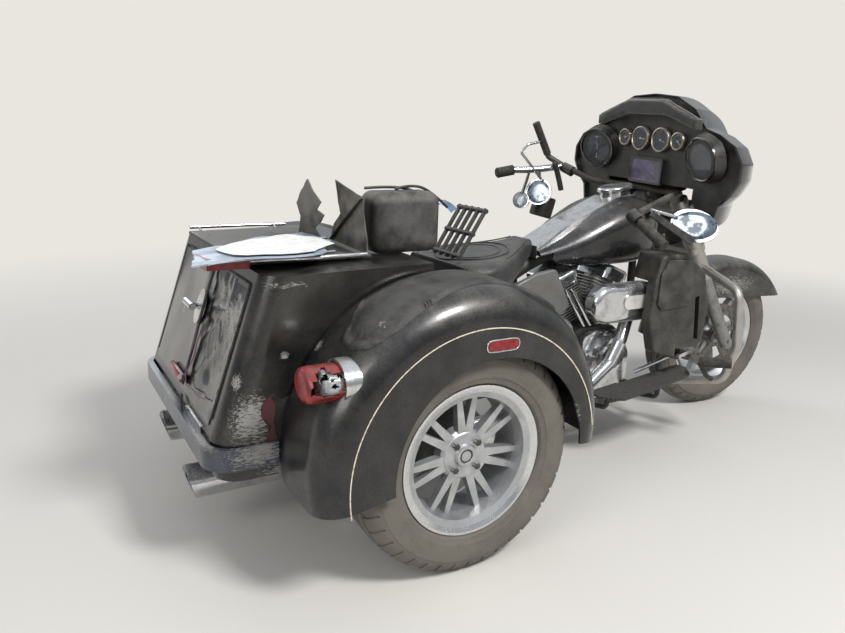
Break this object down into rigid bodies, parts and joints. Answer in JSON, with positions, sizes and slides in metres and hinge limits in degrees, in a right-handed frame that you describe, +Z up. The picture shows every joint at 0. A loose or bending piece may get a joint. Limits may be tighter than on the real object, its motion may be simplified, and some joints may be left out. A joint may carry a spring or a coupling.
{
  "type": "motorized trike",
  "caption": "Damaged three-wheeled V-twin touring motorcycle with a steered front wheel, fairing, rear trunk and wide rear fenders.",
  "frame": {"origin": "on the ground under the middle of the machine's box", "axes": "+Z up, the machine faces -Y, its right side is -X"},
  "size_m": [1.39, 2.6615, 1.3181],
  "materials": {
    "frame_black": "satin black",
    "cast": "cast, dark grey",
    "fins": "black with bright fin edges",
    "chrome": "polished, dusty",
    "paint": "dark metallic pearl, dusty",
    "vinyl": "padded vinyl",
    "silver_grey": "satin",
    "black_plastic": "moulded, dusty",
    "rubber": "ribbed",
    "red_lens": "clear red",
    "grey_panel": "torn",
    "shard": "broken",
    "gloss_black": "gloss",
    "instrument": "dark dials",
    "pouch_fabric": "woven",
    "tyre": "worn, dusty",
    "wheel_alloy": "machined and painted",
    "steel": "brushed"
  },
  "bodies": {
    "chassis": {"frame_tubes": "frame_black", "rear_axle": "cast", "engine_cases": "cast", "cylinders": "fins", "rocker_boxes": "chrome", "pushrod_tubes": "chrome", "engine_covers": "chrome", "air_cleaner": "chrome", "exhaust_pipes": "chrome", "mufflers": "chrome", "fuel_tank": "paint", "tank_console": "chrome", "rider_seat": "vinyl", "side_covers": "silver_grey", "battery_box": "black_plastic", "lower_fairings": "black_plastic", "engine_guard": "chrome", "footboards": "chrome", "highway_pegs": "rubber", "foot_controls": "chrome", "trunk_body": "paint", "rear_bumper": "paint", "rear_fenders": "paint", "fender_pads": "black_plastic", "tail_lamp_bezels": "chrome", "tail_lamp_lenses": "red_lens", "luggage_base": "black_plastic", "luggage_rails": "chrome", "torn_panel": "grey_panel", "corner_lens": "red_lens", "box_shards": "shard", "speaker_pod": "black_plastic", "backrest_frame": "black_plastic"},
    "fork": {"fork_covers": "chrome", "fork_sliders": "cast", "front_calipers": "cast", "front_fender": "paint", "headlamp": "chrome", "handlebar": "chrome", "grips": "rubber", "hand_controls": "gloss_black", "mirrors": "chrome", "fairing_outer": "gloss_black", "fairing_inner": "black_plastic", "dash_instruments": "instrument", "fairing_pouch": "pouch_fabric"},
    "front_wheel": {"front_tyre": "tyre", "front_rim": "wheel_alloy", "front_discs": "steel"},
    "rear_wheel_right": {"rear_tyre_right": "tyre", "rear_rim_right": "wheel_alloy"},
    "rear_wheel_left": {"rear_tyre_left": "tyre", "rear_rim_left": "wheel_alloy"},
    "tailgate": {"tailgate": "paint", "tailgate_handle": "chrome"},
    "fuel_door": {"fuel_door": "chrome"},
    "glove_lid_right": {"glove_lid_right": "black_plastic"},
    "glove_lid_left": {"glove_lid_left": "black_plastic"}
  },
  "joints": [
    {"name": "steering", "type": "hinge", "parent": "chassis", "child": "fork", "pos_m": [0, -0.67981, 0.8], "axis": [0, 0.4384, 0.8988], "range_deg": [-12, 30]},
    {"name": "front_wheel_spin", "type": "hinge", "parent": "fork", "child": "front_wheel", "pos_m": [-0.0043, -0.96983, 0.31992], "axis": [0.9963, -0.0768, 0.0374], "continuous": true},
    {"name": "rear_wheel_right_spin", "type": "hinge", "parent": "chassis", "child": "rear_wheel_right", "pos_m": [-0.5655, 0.7, 0.324], "axis": [1, 0, 0], "continuous": true},
    {"name": "rear_wheel_left_spin", "type": "hinge", "parent": "chassis", "child": "rear_wheel_left", "pos_m": [0.5655, 0.7, 0.324], "axis": [1, 0, 0], "continuous": true},
    {"name": "tailgate_hinge", "type": "hinge", "parent": "chassis", "child": "tailgate", "pos_m": [0, 1.3055, 0.408], "axis": [-1, 0, 0], "range_deg": [0, 80]},
    {"name": "fuel_door_hinge", "type": "hinge", "parent": "chassis", "child": "fuel_door", "pos_m": [0, -0.4199, 0.9707], "axis": [1, 0, 0], "range_deg": [0, 75]},
    {"name": "glove_lid_right_hinge", "type": "hinge", "parent": "chassis", "child": "glove_lid_right", "pos_m": [-0.34541, -0.35001, 0.558], "axis": [-0.1392, -0.9903, 0], "range_deg": [0, 70]},
    {"name": "glove_lid_left_hinge", "type": "hinge", "parent": "chassis", "child": "glove_lid_left", "pos_m": [0.34541, -0.35001, 0.558], "axis": [-0.1392, 0.9903, 0], "range_deg": [0, 70]}
  ]
}
